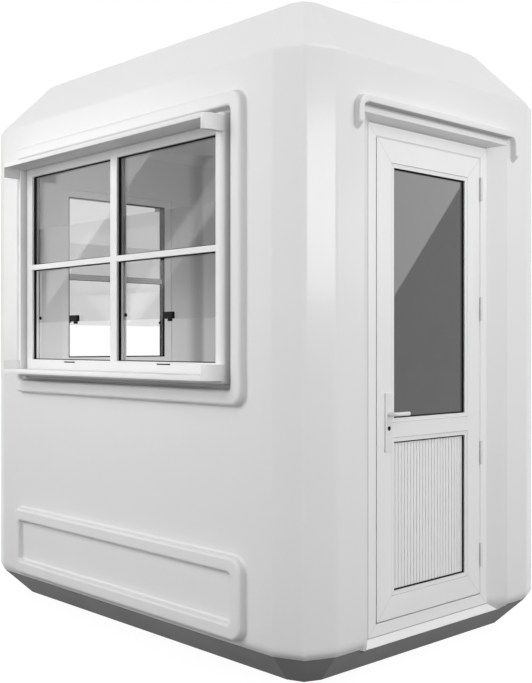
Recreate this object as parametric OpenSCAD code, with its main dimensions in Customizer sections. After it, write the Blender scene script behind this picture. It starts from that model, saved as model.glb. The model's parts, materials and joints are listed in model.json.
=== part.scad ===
// Security guard booth: a moulded fibreglass cabin with a glazed door in its
// front wall and a two-bay window in each side wall, and a one-bay window behind.
// Millimetres, +Z up. The origin is the centre of the base, at ground level.
// The front wall faces -Y, the left wall faces -X.

/* [Body] */
// Width over the side walls
body_w = 1500; // [1300:10:1900]
// Depth from the front wall to the back wall
body_d = 2180; // [1900:10:3000]
// Height of the lower edge of the walls
wall_z0 = 125; // [100:5:160]
// Height of the upper edge of the walls
wall_z1 = 2218; // [2170:2:2400]
// Thickness of the walls
wall_t = 50; // [40:1:60]
// Radius that the two flats of each corner follow
corner_r = 158; // [120:1:180]

/* [Base] */
// How far the bevelled base runs in at the ground
base_inset = 125; // [60:1:150]
// Corner radius at the ground
base_r = 86; // [60:1:110]
// How far the walls overhang the top of the base
base_lip = 4; // [2:0.5:8]
// Height of the steeper band at the top of the base
base_band = 12; // [6:1:20]
// Thickness of the floor panel
floor_t = 25; // [15:1:40]

// Thickness of the bottom of the base pan
pan_t = 12; // [8:1:20]
// Width of the ledge inside the walls that carries the floor
floor_ledge = 40; // [25:1:60]
// Number of joists under the floor
joists = 3; // [1:1:5]
// Width of a joist
joist_w = 60; // [40:1:90]

/* [Roof] */
// Rise of the roof above the walls
roof_rise = 234; // [180:2:320]
// How far the roof bevel runs in at its crest
roof_inset = 192; // [150:1:260]
// Height of the small bevel at the crest
crest_rise = 16; // [8:1:30]
// How far the small bevel runs in
crest_inset = 24; // [12:1:40]
// Corner radius of the roof top
roof_r = 62; // [40:1:100]
// Thickness of the roof shell
roof_t = 45; // [30:1:60]
// Underside of the ceiling sheet above the tops of the walls
ceiling_up = 46; // [20:1:90]
// Thickness of the ceiling sheet
ceiling_t = 12; // [8:1:20]

/* [Windows] */
// Height of the underside of the window frames
win_z0 = 1084; // [1040:1:1150]
// Height of the window frames
win_h = 913; // [800:1:950]
// Width of one glass pane between frame bars
pane_w = 623; // [520:1:660]
// Visible width of the side stiles of the frame
stile_w = 45; // [35:1:60]
// Visible height of the head of the frame
head_w = 36; // [28:1:50]
// Visible height of the bottom rail of the frame
sill_rail_w = 44; // [34:1:60]
// Width of the upright bar between two bays
mullion_w = 46; // [30:1:60]
// Height of the bar between upper and lower panes
transom_w = 24; // [18:1:40]
// Height of the middle of that bar above the underside of the frame
transom_z = 463; // [420:1:520]
// Depth of the window frame
frame_d = 50; // [44:1:60]
// How far the frame stands out from the wall face
frame_out = 12; // [4:1:20]
// Length of the drain slots in the bottom rail
drain_l = 88; // [40:2:120]
// Height of the drain slots
drain_h = 5; // [3:0.5:8]
// Thickness of the glass
glass_t = 6; // [4:1:8]
// How far the sliding panes are raised
slide_up = 168; // [80:1:220]

/* [Window surround] */
// Width of the posts of the surround
jamb_w = 33; // [24:1:45]
// How far the posts stand out from the wall
jamb_out = 45; // [30:1:60]
// Radius of the outer front edges of the posts
jamb_r = 18; // [8:1:24]
// How far the hood and sill stand out from the wall
hood_out = 125; // [90:1:160]
// Thickness of the hood and sill plates
hood_t = 18; // [12:1:26]
// Height of the end cheeks of the hood and sill
cheek_h = 58; // [40:1:80]
// Thickness of the end cheeks
cheek_t = 26; // [16:1:36]
// Radius of the front corners of hood and sill
hood_r = 32; // [20:1:50]

/* [Moulded beads] */
// Height that the beads stand out from the walls
bead_h = 30; // [12:1:34]
// Width of the flat face of a bead
bead_face = 32; // [24:1:50]
// Width of each sloping side of a bead
bead_slope = 24; // [10:1:26]
// Outer corner radius of a bead ring
bead_r = 66; // [50:1:90]
// Inner corner radius of a bead ring, at its face
bead_inner_r = 28; // [27:1:34]
// Gap between the window surround and the bead round it
bead_gap = 6; // [4:1:30]
// Height of the lower edge of the panel bead below the window
panel_z0 = 128; // [126:1:200]
// Height of the panel bead ring
panel_h = 320; // [240:1:420]

/* [Doorway] */
// Width of the doorway between its outer edges
door_open_w = 896; // [820:1:960]
// Height of the outer top edge of the doorway
door_open_z = 2022; // [1980:1:2060]
// Depth of the splayed reveal
reveal_d = 50; // [30:1:70]
// How far each side of the reveal runs in
reveal_side = 74; // [40:1:90]
// How far the top of the reveal runs down
reveal_top = 16; // [0:1:30]
// Width of the visible face of the door frame
door_frame_w = 47; // [38:1:60]
// Depth of the door frame
door_frame_d = 70; // [60:1:90]
// Height of the front edge of the threshold
threshold_z = 99; // [70:1:115]

/* [Door leaf] */
// Gap round the door leaf
leaf_gap = 5; // [5:0.5:8]
// Thickness of the door leaf
leaf_t = 46; // [40:1:50]
// Width of the stiles and the top and bottom rails
leaf_stile = 100; // [85:1:120]
// Height of the middle rail
mid_rail = 89; // [70:1:120]
// Height of the lower edge of the middle rail above the leaf
mid_rail_z = 655; // [560:5:760]
// Width of the glazing bead that shows as a fine line
glazing_bead = 11; // [8:1:20]
// Thickness of the double glazing in the door
door_glass_t = 20; // [14:1:24]
// Number of ribs across the lower panel
ribs = 24; // [18:1:32]

/* [Rain bead] */
// Width of the rain bead at its face
rain_face = 26; // [18:1:40]
// Height that the rain bead stands out
rain_h = 25; // [12:1:30]
// Distance of the rain bead's middle beyond the side of the doorway
rain_side = 39; // [34:1:60]
// Distance of the rain bead's middle above the doorway
rain_up = 41; // [30:1:70]
// Length of the turned-down ends
rain_drop = 93; // [60:1:160]
// Radius of the rain bead's corners, at its middle
rain_r = 33; // [28:1:60]

/* [Door furniture] */
// Height of the lever above the bottom of the leaf
lever_z = 761; // [700:1:860]
// Distance of the lever's spindle from the free edge of the leaf
lever_back = 62; // [50:1:75]
// Length of the lever from its spindle
lever_l = 80; // [70:1:130]
// Diameter of the lever
lever_dia = 15; // [12:0.5:18]
// How far the lever stands off its plate
lever_off = 30; // [24:1:45]
// Width of the long plate
plate_w = 39; // [30:1:46]
// Height of the long plate
plate_h = 215; // [180:1:260]
// Thickness of the long plate
plate_t = 6; // [4:0.5:9]
// Diameter of the lock cylinder
lock_dia = 17; // [14:0.5:22]
// Diameter of the hinge barrels
barrel_dia = 11; // [9:0.5:14]
// Length of a hinge
hinge_h = 95; // [70:1:120]

/* [Hidden] */
$fn = 48;

shell_white = "#E6E7E6";
frame_white = "#F1F2F2";
base_grey = "#5A5B5C";
floor_grey = "#8E908F";
glass_grey = [0.42, 0.45, 0.46, 0.55];
rubber_black = "#1E1F20";

// Share of a corner radius that the middle vertex of its two flats lies in from each wall
flat_k = 1 - cos(45);
thin = 0.01;
over = 1;

half_w = body_w / 2;
half_d = body_d / 2;
inner_r = corner_r - wall_t;
side_wall_l = body_d - 2 * corner_r;
end_wall_l = body_w - 2 * corner_r;
wall_h = wall_z1 - wall_z0;
floor_z = wall_z0 + floor_t;

bead_w = bead_face + 2 * bead_slope;
side_bays = 2;
back_bays = 1;
function win_w(bays) = bays * pane_w + (bays - 1) * mullion_w + 2 * stile_w;
function surround_w(bays) = win_w(bays) + 2 * jamb_w;
// The inner foot of the bead meets the wall outside the surround
function bead_ring_w(bays) = surround_w(bays) + 2 * (bead_gap + bead_w);
ring_z0 = win_z0 - jamb_w - bead_gap - bead_w;
ring_h = win_h + 2 * (jamb_w + bead_gap + bead_w);

frame_half = door_open_w / 2 - reveal_side;
frame_top = door_open_z - reveal_top;
frame_y1 = reveal_d + door_frame_d;
return_t = 34;
stop_w = 17;
leaf_half = frame_half - door_frame_w - leaf_gap;
leaf_z0 = wall_z0 + door_frame_w + leaf_gap;
leaf_z1 = frame_top - door_frame_w - leaf_gap;
leaf_h = leaf_z1 - leaf_z0;
leaf_y0 = reveal_d;
leaf_open_half = leaf_half - leaf_stile;
mid_z0 = leaf_z0 + mid_rail_z;
mid_z1 = mid_z0 + mid_rail;
glazing_y = leaf_y0 + (leaf_t - door_glass_t) / 2;
seat = 8;
gasket_w = 6;
gasket_t = 4;

hinge_x = leaf_half + leaf_gap / 2;
hinge_y = leaf_y0 - barrel_dia / 2 - 0.6;
hinge_levels = [0.09, 0.325, 0.655, 0.93];
pin_dia = 6;
pin_clear = 0.08;
hinge_leaf_t = 1.9;
hinge_leaf_d = 32;

lever_x = -leaf_half + lever_back;
lever_height = leaf_z0 + lever_z;
plate_y = leaf_y0 - plate_t;
plate_below = 138;
plate_low = lever_height - plate_below;
spindle_dia = 12;
lock_drop = 53;
elbow_r = 12;

// Twelve points round a rectangle whose corners are cut by two flats each
function plan_points(hx, hy, r) = [
  for (c = [[1, -1], [1, 1], [-1, 1], [-1, -1]])
    for (p = (c[0] * c[1] < 0 ? [[r, 0], [flat_k * r, flat_k * r], [0, r]]
                              : [[0, r], [flat_k * r, flat_k * r], [r, 0]]))
      [c[0] * (hx - p[0]), c[1] * (hy - p[1])]
];

module plan_slab(z, h, inset, r)
  translate([0, 0, z])
    linear_extrude(h) polygon(plan_points(half_w - inset, half_d - inset, r));

// A box given by its low and high corners
module block(low, high)
  translate(low) cube(high - low);

// Solid between two section lines, drawn in depth and height, along the x direction
module along_x(length, section)
  translate([-length / 2, 0, 0]) rotate([90, 0, 90]) linear_extrude(length) polygon(section);

// Places a piece drawn with its outer wall face at y = 0, looking along +Y, on each wall
module on_front() translate([0, -half_d, 0]) children();
module on_left() translate([-half_w, 0, 0]) rotate([0, 0, -90]) children();
module on_right() translate([half_w, 0, 0]) rotate([0, 0, 90]) children();
module on_back() translate([0, half_d, 0]) rotate([0, 0, 180]) children();

// Four cones at the corners of a ring outline; their hull is one sloping block
module ring_block(half_x, half_z, r0, r1, h)
  hull()
    for (sx = [-1, 1], sz = [-1, 1])
      translate([sx * half_x, 0, sz * half_z])
        rotate([90, 0, 0]) cylinder(h = h, r1 = r0, r2 = r1, $fn = 32);

// A raised bead that runs round a rounded rectangle on a wall
module bead_ring(width, z0, height) {
  foot_r = bead_inner_r - bead_slope;
  inner_in = bead_w + foot_r;
  translate([0, 0, z0 + height / 2])
    difference() {
      translate([0, over, 0])
        ring_block(width / 2 - bead_r, height / 2 - bead_r,
                   bead_r + over * bead_slope / bead_h, bead_r - bead_slope, bead_h + over);
      ring_block(width / 2 - inner_in, height / 2 - inner_in,
                 foot_r, bead_inner_r + over * bead_slope / bead_h, bead_h + over);
      translate([-width, 0, -height]) cube([2 * width, 2 * over, 2 * height]);
    }
}

// A wall panel with its window opening and its two moulded bead rings
module window_wall(length, bays) {
  difference() {
    block([-length / 2, 0, wall_z0], [length / 2, wall_t, wall_z1]);
    block([-win_w(bays) / 2, -over, win_z0], [win_w(bays) / 2, wall_t + over, win_z0 + win_h]);
  }
  bead_ring(bead_ring_w(bays), ring_z0, ring_h);
  bead_ring(bead_ring_w(bays), panel_z0, panel_h);
}

// A rectangle standing out from the wall by depth, with round front corners, seen from above
module round_plan(half, depth, r) {
  translate([-half, r - depth]) square([2 * half, depth - r]);
  translate([r - half, -depth]) square([2 * (half - r), r]);
  for (s = [-1, 1]) translate([s * (half - r), r - depth]) circle(r);
}

// A hood: a thin plate with deep end cheeks, in one with the rails and posts behind it.
// The sill is the same piece turned over.
module hood(bays) {
  half = surround_w(bays) / 2;
  linear_extrude(hood_t) round_plan(half, hood_out, hood_r);
  translate([0, 0, hood_t - cheek_h])
    linear_extrude(cheek_h)
      intersection() {
        round_plan(half, hood_out, hood_r);
        for (s = [-1, 1])
          translate([s * (half - cheek_t / 2) - cheek_t / 2, -hood_out])
            square([cheek_t, hood_out]);
      }
}

module window_surround(bays) {
  half = surround_w(bays) / 2;
  difference() {
    translate([0, 0, win_z0 - jamb_w])
      linear_extrude(win_h + 2 * jamb_w) round_plan(half, jamb_out, jamb_r);
    block([-win_w(bays) / 2, -jamb_out - over, win_z0],
          [win_w(bays) / 2, over, win_z0 + win_h]);
  }
  translate([0, 0, win_z0 + win_h]) hood(bays);
  translate([0, 0, win_z0]) mirror([0, 0, 1]) hood(bays);
}

// Middle of each bay along the wall
function bay_x(bays, i) = (i - (bays - 1) / 2) * (pane_w + mullion_w);
upper_z0 = win_z0 + transom_z + transom_w / 2;
upper_z1 = win_z0 + win_h - head_w;
lower_z0 = win_z0 + sill_rail_w;
lower_z1 = win_z0 + transom_z - transom_w / 2;
frame_y0 = -frame_out;
drain_in = 7;
drain_d = 8;
fixed_y = frame_y0 + 22;
slide_y = fixed_y + glass_t + 6;
slide_z0 = lower_z0 + slide_up;
slide_z1 = slide_z0 + lower_z1 - lower_z0 + 20;

module window_frame(bays) {
  half = win_w(bays) / 2;
  difference() {
    block([-half, frame_y0, win_z0], [half, frame_y0 + frame_d, win_z0 + win_h]);
    for (i = [0 : bays - 1]) translate([bay_x(bays, i), 0, 0]) {
      block([-pane_w / 2, frame_y0 - over, upper_z0], [pane_w / 2, frame_y0 + frame_d + over, upper_z1]);
      block([-pane_w / 2, frame_y0 - over, lower_z0], [pane_w / 2, frame_y0 + frame_d + over, lower_z1]);
      // Groove that holds the upper pane all round
      block([-pane_w / 2 - seat, fixed_y, upper_z0 - seat], [pane_w / 2 + seat, fixed_y + glass_t, upper_z1 + seat]);
      // Channels that the lower pane slides up in, open behind the middle bar
      block([-pane_w / 2 - seat, slide_y - 1, lower_z0], [pane_w / 2 + seat, slide_y + glass_t + 1, upper_z1]);
      block([-pane_w / 2, slide_y - 1, lower_z1 - over], [pane_w / 2, frame_y0 + frame_d + over, upper_z0 + over]);
      // Drain slot in the face of the bottom rail
      block([-drain_l / 2, frame_y0 - over, lower_z0 - drain_in - drain_h],
            [drain_l / 2, frame_y0 + drain_d, lower_z0 - drain_in]);
    }
  }
}

module window_fixed_glass(bays)
  for (i = [0 : bays - 1]) translate([bay_x(bays, i), 0, 0])
    block([-pane_w / 2 - seat, fixed_y, upper_z0 - seat], [pane_w / 2 + seat, fixed_y + glass_t, upper_z1 + seat]);

module window_sliding_glass(bays)
  for (i = [0 : bays - 1]) translate([bay_x(bays, i), 0, 0])
    block([-pane_w / 2 - seat, slide_y, slide_z0], [pane_w / 2 + seat, slide_y + glass_t, slide_z1]);

// A thin rubber ring just inside an opening of width 2 * half
module gasket(half, z0, z1, y, t)
  difference() {
    block([-half, y, z0], [half, y + t, z1]);
    block([-half + gasket_w, y - over, z0 + gasket_w], [half - gasket_w, y + t + over, z1 - gasket_w]);
  }

module window_gaskets(bays)
  for (i = [0 : bays - 1]) translate([bay_x(bays, i), 0, 0]) {
    gasket(pane_w / 2, upper_z0, upper_z1, fixed_y - gasket_t, gasket_t);
    gasket(pane_w / 2, lower_z0, lower_z1, fixed_y - gasket_t, gasket_t);
  }

latch_w = 60;
latch_h = 27;
latch_t = 14;
latch_tab = 16;
button_dia = 16;
button_in = 20;

// The black latch at the middle of each raised pane, and its two stop buttons
module window_latches(bays)
  for (i = [0 : bays - 1]) translate([bay_x(bays, i), 0, slide_z0]) {
    block([-latch_w / 2, slide_y - latch_t, 0], [latch_w / 2, slide_y, latch_h]);
    block([-latch_tab / 2, slide_y - latch_t / 2, -10], [latch_tab / 2, slide_y + glass_t, 0]);
    for (s = [-1, 1])
      translate([s * (pane_w / 2 - button_in), slide_y, 20])
        rotate([90, 0, 0]) cylinder(h = 5, d = button_dia);
  }

// A corner moulding: two flats outside and two inside
module corner_moulding(sx, sy) {
  outer = [[0, corner_r], [flat_k * corner_r, flat_k * corner_r], [corner_r, 0]];
  k = wall_t + flat_k * inner_r;
  inner = [[corner_r, wall_t], [k, k], [wall_t, corner_r]];
  translate([sx * half_w, sy * half_d, wall_z0])
    mirror([sx > 0 ? 1 : 0, 0, 0]) mirror([0, sy > 0 ? 1 : 0, 0])
      linear_extrude(wall_h) polygon(concat(outer, inner));
}

// The base is a tapered pan. Its rim carries the walls and, with the joists, the floor.
module base_pan() color(base_grey)
  difference() {
    band_inset = base_inset * base_band / wall_z0;
    hull() {
      plan_slab(0, thin, base_inset, base_r);
      plan_slab(wall_z0 - base_band, thin, band_inset, corner_r - (corner_r - base_r) * base_band / wall_z0);
      plan_slab(wall_z0 - thin, thin, base_lip, corner_r);
    }
    difference() {
      hull() {
        plan_slab(pan_t, thin, base_inset + pan_t, base_r);
        plan_slab(wall_z0, over, wall_t + floor_ledge, inner_r);
      }
      for (i = [1 : joists])
        translate([0, (i / (joists + 1) - 0.5) * body_d, 0])
          block([-half_w, -joist_w / 2, 0], [half_w, joist_w / 2, wall_z0 + 2 * over]);
    }
    on_front()
      block([-door_open_w / 2, -over, threshold_z], [door_open_w / 2, reveal_d, wall_z0 + over]);
  }

module floor_panel() color(floor_grey)
  difference() {
    plan_slab(wall_z0, floor_t, wall_t, inner_r);
    on_front()
      block([-frame_half - return_t, 0, wall_z0 - over], [frame_half + return_t, frame_y1, floor_z + over]);
  }

// The wall beside the doorway, with its splayed reveal and the return that holds the frame
module door_side_wall() {
  edge = door_open_w / 2;
  linear_extrude(wall_h)
    polygon([[-end_wall_l / 2, 0], [-edge, 0], [-frame_half, reveal_d], [-frame_half, frame_y1],
             [-frame_half - return_t, frame_y1], [-frame_half - return_t, wall_t], [-end_wall_l / 2, wall_t]]);
}

module front_wall_left() color(shell_white)
  on_front() translate([0, 0, wall_z0]) door_side_wall();

module front_wall_right() color(shell_white)
  on_front() translate([0, 0, wall_z0]) mirror([1, 0, 0]) door_side_wall();

module front_wall_head() color(shell_white)
  on_front() intersection() {
    edge = door_open_w / 2;
    linear_extrude(wall_z1)
      polygon([[-edge, 0], [edge, 0], [frame_half, reveal_d], [frame_half, frame_y1],
               [-frame_half, frame_y1], [-frame_half, reveal_d]]);
    along_x(door_open_w,
            [[0, door_open_z], [reveal_d, frame_top], [frame_y1, frame_top],
             [frame_y1, frame_top + return_t], [wall_t, frame_top + return_t],
             [wall_t, wall_z1], [0, wall_z1]]);
  }

module left_wall() color(shell_white) on_left() window_wall(side_wall_l, side_bays);
module right_wall() color(shell_white) on_right() window_wall(side_wall_l, side_bays);
module back_wall() color(shell_white) on_back() window_wall(end_wall_l, back_bays);

module front_left_corner() color(shell_white) corner_moulding(-1, -1);
module front_right_corner() color(shell_white) corner_moulding(1, -1);
module back_left_corner() color(shell_white) corner_moulding(-1, 1);
module back_right_corner() color(shell_white) corner_moulding(1, 1);

roof_slope = roof_inset / (roof_rise - crest_rise);

// The space inside the roof shell
module roof_cavity() {
  cavity_h = roof_rise - roof_t;
  hull() {
    plan_slab(wall_z1 - over, over, wall_t, inner_r);
    plan_slab(wall_z1 + cavity_h - thin, thin, wall_t + cavity_h * roof_slope, roof_r);
  }
}

module roof() color(shell_white) {
  crest_z = wall_z1 + roof_rise - crest_rise;
  crest_r = roof_r + crest_inset * (corner_r - roof_r) / (roof_inset + crest_inset);
  difference() {
    hull() {
      plan_slab(wall_z1, thin, 0, corner_r);
      plan_slab(crest_z, thin, roof_inset, crest_r);
      plan_slab(wall_z1 + roof_rise - thin, thin, roof_inset + crest_inset, roof_r);
    }
    roof_cavity();
  }
}

// Flat ceiling sheet that rests on the bevelled inner faces of the roof
module ceiling_panel() color(shell_white)
  intersection() {
    roof_cavity();
    block([-half_w, -half_d, wall_z1 + ceiling_up], [half_w, half_d, wall_z1 + ceiling_up + ceiling_t]);
  }

rain_foot = rain_face + 8;
module rain_section()
  polygon([[-rain_foot / 2, 0], [-rain_face / 2, rain_h], [rain_face / 2, rain_h], [rain_foot / 2, 0]]);

// The rain bead over the door: a top run, two round corners and two turned-down ends
module door_rain_bead() color(shell_white) on_front() {
  x = door_open_w / 2 + rain_side;
  z = door_open_z + rain_up;
  translate([-x + rain_r, 0, z])
    rotate([90, 0, 90]) rotate([0, 0, 90]) linear_extrude(2 * (x - rain_r))
      rotate(0) rain_section();
  end_z = z - rain_drop + rain_foot / 2;
  for (s = [-1, 1]) {
    translate([s * x, 0, end_z]) rotate([0, 0, 180]) linear_extrude(z - rain_r - end_z) rain_section();
    translate([s * (x - rain_r), 0, z - rain_r]) rotate([90, 0, 0])
      rotate([0, 0, s > 0 ? 0 : 90]) rotate_extrude(angle = 90) translate([rain_r, 0]) rain_section();
    // The end slopes down from a round face to a round foot
    hull() {
      translate([s * x, 0, end_z]) rotate([0, 0, 180]) linear_extrude(thin) rain_section();
      translate([s * x, thin - rain_h, end_z]) rotate([90, 0, 0]) cylinder(h = thin, d = rain_face);
      translate([s * x, 0, end_z - rain_foot / 2]) rotate([90, 0, 0]) cylinder(h = thin, d = rain_foot);
    }
  }
}

module door_threshold() color(frame_white)
  on_front() along_x(door_open_w, [[reveal_d - (wall_z0 - threshold_z), threshold_z],
                                   [reveal_d, threshold_z], [reveal_d, wall_z0]]);

module door_frame() color(frame_white)
  on_front() difference() {
    block([-frame_half, reveal_d, wall_z0], [frame_half, frame_y1, frame_top]);
    block([-frame_half + door_frame_w, reveal_d - over, wall_z0 + door_frame_w],
          [frame_half - door_frame_w, leaf_y0 + leaf_t + leaf_gap, frame_top - door_frame_w]);
    block([-frame_half + door_frame_w + stop_w, reveal_d, wall_z0 + door_frame_w + stop_w],
          [frame_half - door_frame_w - stop_w, frame_y1 + over, frame_top - door_frame_w - stop_w]);
  }

module leaf_openings(grow, y0, y1) {
  half = leaf_open_half + grow;
  block([-half, y0, leaf_z0 + leaf_stile - grow], [half, y1, mid_z0 + grow]);
  block([-half, y0, mid_z1 - grow], [half, y1, leaf_z1 - leaf_stile + grow]);
}

module door_leaf() color(frame_white)
  on_front() difference() {
    block([-leaf_half, leaf_y0, leaf_z0], [leaf_half, leaf_y0 + leaf_t, leaf_z1]);
    leaf_openings(0, leaf_y0 - over, leaf_y0 + leaf_t + over);
    leaf_openings(glazing_bead, leaf_y0 - over, leaf_y0 + 2);
    leaf_openings(glazing_bead, leaf_y0 + leaf_t - 2, leaf_y0 + leaf_t + over);
    leaf_openings(seat, glazing_y, glazing_y + door_glass_t);
    for (z = [lever_height, lever_height - lock_drop])
      translate([lever_x, leaf_y0 - over, z]) rotate([-90, 0, 0])
        cylinder(h = leaf_t + 2 * over, d = z == lever_height ? spindle_dia + 4 : lock_dia);
  }

module door_glass() color(glass_grey)
  on_front() block([-leaf_open_half - seat, glazing_y, mid_z1 - seat],
                   [leaf_open_half + seat, glazing_y + door_glass_t, leaf_z1 - leaf_stile + seat]);

// The lower panel: a flat board with upright grooves between its ribs, on both faces
module door_ribbed_panel() color(frame_white)
  on_front() difference() {
    groove_w = 4;
    groove_d = 2.5;
    pitch = 2 * leaf_open_half / ribs;
    z0 = leaf_z0 + leaf_stile;
    block([-leaf_open_half - seat, glazing_y, z0 - seat],
          [leaf_open_half + seat, glazing_y + door_glass_t, mid_z0 + seat]);
    for (i = [1 : ribs - 1])
      for (y = [glazing_y - over, glazing_y + door_glass_t - groove_d])
        translate([-leaf_open_half + i * pitch - groove_w / 2, y, z0])
          cube([groove_w, groove_d + over, mid_z0 - z0]);
  }

module door_gaskets() color(rubber_black)
  on_front() for (y = [glazing_y - gasket_t, glazing_y + door_glass_t]) {
    gasket(leaf_open_half, mid_z1, leaf_z1 - leaf_stile, y, gasket_t);
    gasket(leaf_open_half, leaf_z0 + leaf_stile, mid_z0, y, gasket_t);
  }

knuckle = hinge_h / 2;
knuckle_gap = 0.3;
pin_l = hinge_h - 6;
function hinge_z(i) = leaf_z0 + hinge_levels[i] * leaf_h;

// One half of a hinge: a full-height flap on the edge at x, joined to a knuckle at z
module hinge_half(x, z, h) {
  translate([0, 0, z]) cylinder(h = h, d = barrel_dia);
  block([x, 0, z], [x + hinge_leaf_t, hinge_leaf_d, z + h]);
  block([x, barrel_dia / 2 + 0.5, -knuckle], [x + hinge_leaf_t, hinge_leaf_d, knuckle]);
}

// Lower knuckle, pin and flap of each hinge, on the frame
module door_frame_hinges() color(frame_white)
  on_front() for (i = [0 : len(hinge_levels) - 1])
    translate([hinge_x, hinge_y, hinge_z(i)]) {
      hinge_half(leaf_gap / 2 - hinge_leaf_t, -knuckle, knuckle - knuckle_gap);
      translate([0, 0, -knuckle]) cylinder(h = pin_l, d = pin_dia);
    }

// Upper knuckle and flap of each hinge, on the leaf
module door_leaf_hinges() color(frame_white)
  on_front() for (i = [0 : len(hinge_levels) - 1])
    translate([hinge_x, hinge_y, hinge_z(i)])
      difference() {
        hinge_half(-leaf_gap / 2, 0, knuckle);
        translate([0, 0, -over]) cylinder(h = pin_l - knuckle + 2 * over, d = pin_dia + 2 * pin_clear);
      }

// The long plates outside and inside, with bearings for the spindle and the lock
module door_handle_plates() color(frame_white)
  on_front() for (y = [plate_y, leaf_y0 + leaf_t])
    difference() {
      block([lever_x - plate_w / 2, y, plate_low], [lever_x + plate_w / 2, y + plate_t, plate_low + plate_h]);
      translate([lever_x, y - over, lever_height]) rotate([-90, 0, 0])
        cylinder(h = plate_t + 2 * over, d = spindle_dia + 2 * pin_clear);
      translate([lever_x, y - over, lever_height - lock_drop]) rotate([-90, 0, 0])
        cylinder(h = plate_t + 2 * over, d = lock_dia);
    }

module door_lock_cylinder() color(rubber_black)
  on_front() translate([lever_x, plate_y - 0.5, lever_height - lock_drop]) rotate([-90, 0, 0])
    cylinder(h = leaf_t + 2 * plate_t + 1, d = lock_dia);

// One lever: a neck out of the plate, a round elbow and a straight grip
module lever_arm() {
  neck = lever_off - elbow_r;
  translate([0, 0, 0.4]) cylinder(h = neck - 0.4, d = lever_dia);
  translate([elbow_r, 0, neck]) rotate([90, 0, 0]) rotate([0, 0, 90]) rotate_extrude(angle = 90)
    translate([elbow_r, 0]) circle(d = lever_dia);
  translate([elbow_r, 0, lever_off]) rotate([0, 90, 0]) cylinder(h = lever_l - elbow_r, d = lever_dia);
}

module door_lever() color(frame_white)
  on_front() translate([lever_x, 0, lever_height]) {
    translate([0, plate_y, 0]) rotate([90, 0, 0]) lever_arm();
    translate([0, leaf_y0 + leaf_t + plate_t, 0]) mirror([0, 1, 0]) rotate([90, 0, 0]) lever_arm();
    translate([0, plate_y - 1, 0]) rotate([-90, 0, 0])
      cylinder(h = leaf_t + 2 * plate_t + 2, d = spindle_dia);
  }

module left_window_surround() color(frame_white) on_left() window_surround(side_bays);
module left_window_frame() color(frame_white) on_left() window_frame(side_bays);
module left_window_fixed_glass() color(glass_grey) on_left() window_fixed_glass(side_bays);
module left_window_sliding_glass() color(glass_grey) on_left() window_sliding_glass(side_bays);
module left_window_gaskets() color(rubber_black) on_left() window_gaskets(side_bays);
module left_window_latches() color(rubber_black) on_left() window_latches(side_bays);

module right_window_surround() color(frame_white) on_right() window_surround(side_bays);
module right_window_frame() color(frame_white) on_right() window_frame(side_bays);
module right_window_fixed_glass() color(glass_grey) on_right() window_fixed_glass(side_bays);
module right_window_sliding_glass() color(glass_grey) on_right() window_sliding_glass(side_bays);
module right_window_gaskets() color(rubber_black) on_right() window_gaskets(side_bays);
module right_window_latches() color(rubber_black) on_right() window_latches(side_bays);

module back_window_surround() color(frame_white) on_back() window_surround(back_bays);
module back_window_frame() color(frame_white) on_back() window_frame(back_bays);
module back_window_fixed_glass() color(glass_grey) on_back() window_fixed_glass(back_bays);
module back_window_sliding_glass() color(glass_grey) on_back() window_sliding_glass(back_bays);
module back_window_gaskets() color(rubber_black) on_back() window_gaskets(back_bays);
module back_window_latches() color(rubber_black) on_back() window_latches(back_bays);

base_pan();
floor_panel();
front_wall_left();
front_wall_right();
front_wall_head();
left_wall();
right_wall();
back_wall();
front_left_corner();
front_right_corner();
back_left_corner();
back_right_corner();
roof();
ceiling_panel();
door_rain_bead();
door_threshold();
door_frame();
door_frame_hinges();
door_leaf();
door_glass();
door_ribbed_panel();
door_gaskets();
door_leaf_hinges();
door_handle_plates();
door_lock_cylinder();
door_lever();
left_window_surround();
left_window_frame();
left_window_fixed_glass();
left_window_sliding_glass();
left_window_gaskets();
left_window_latches();
right_window_surround();
right_window_frame();
right_window_fixed_glass();
right_window_sliding_glass();
right_window_gaskets();
right_window_latches();
back_window_surround();
back_window_frame();
back_window_fixed_glass();
back_window_sliding_glass();
back_window_gaskets();
back_window_latches();
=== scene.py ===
# %% [markdown]
# # A moulded guard booth, step by step
#
# The booth is a white moulded cabin on a dark tapered base. Its engineering model is loaded first
# and stays as it is: it says where every piece belongs. This file then dresses it. Big moulded
# surfaces get soft edges, frames get fine bevels, and every finish is made of shader nodes.

import json
import math

import bmesh
import bpy
import numpy as np
from mathutils import Matrix, Vector

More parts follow.
